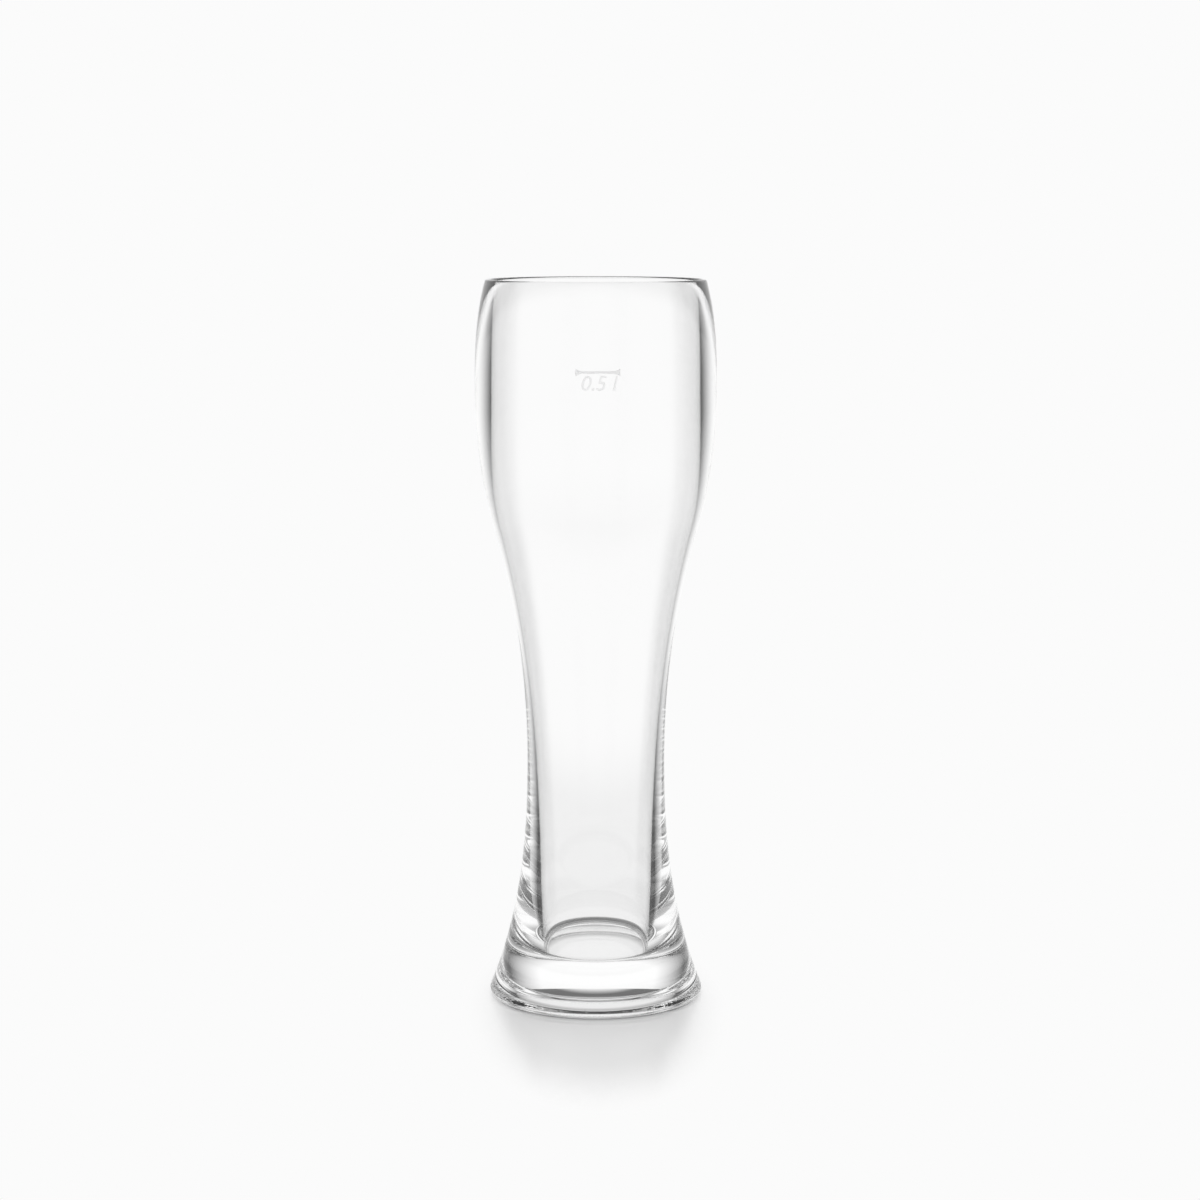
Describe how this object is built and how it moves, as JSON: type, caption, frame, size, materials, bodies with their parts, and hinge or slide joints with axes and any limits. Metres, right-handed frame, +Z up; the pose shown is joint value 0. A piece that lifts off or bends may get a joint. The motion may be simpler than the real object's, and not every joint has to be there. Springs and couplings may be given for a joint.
{
  "type": "weizen glass",
  "caption": "Tall clear wheat-beer glass with a swelling bowl, a drawn-in waist, a heavy solid foot and a raised fill line with flared ends.",
  "frame": {"origin": "on the glass's axis, in the plane that its foot stands on", "axes": "+Z up along the axis of revolution, -Y towards the fill line, +X to the right when facing the fill line"},
  "size_m": [0.0848, 0.0849, 0.255],
  "materials": {
    "clear_glass": "clear and polished inside and out",
    "frosted_mark": "frosted, colourless, raised from the wall"
  },
  "bodies": {
    "root": {"glass_body": "clear_glass", "fill_line": "frosted_mark"}
  },
  "joints": []
}
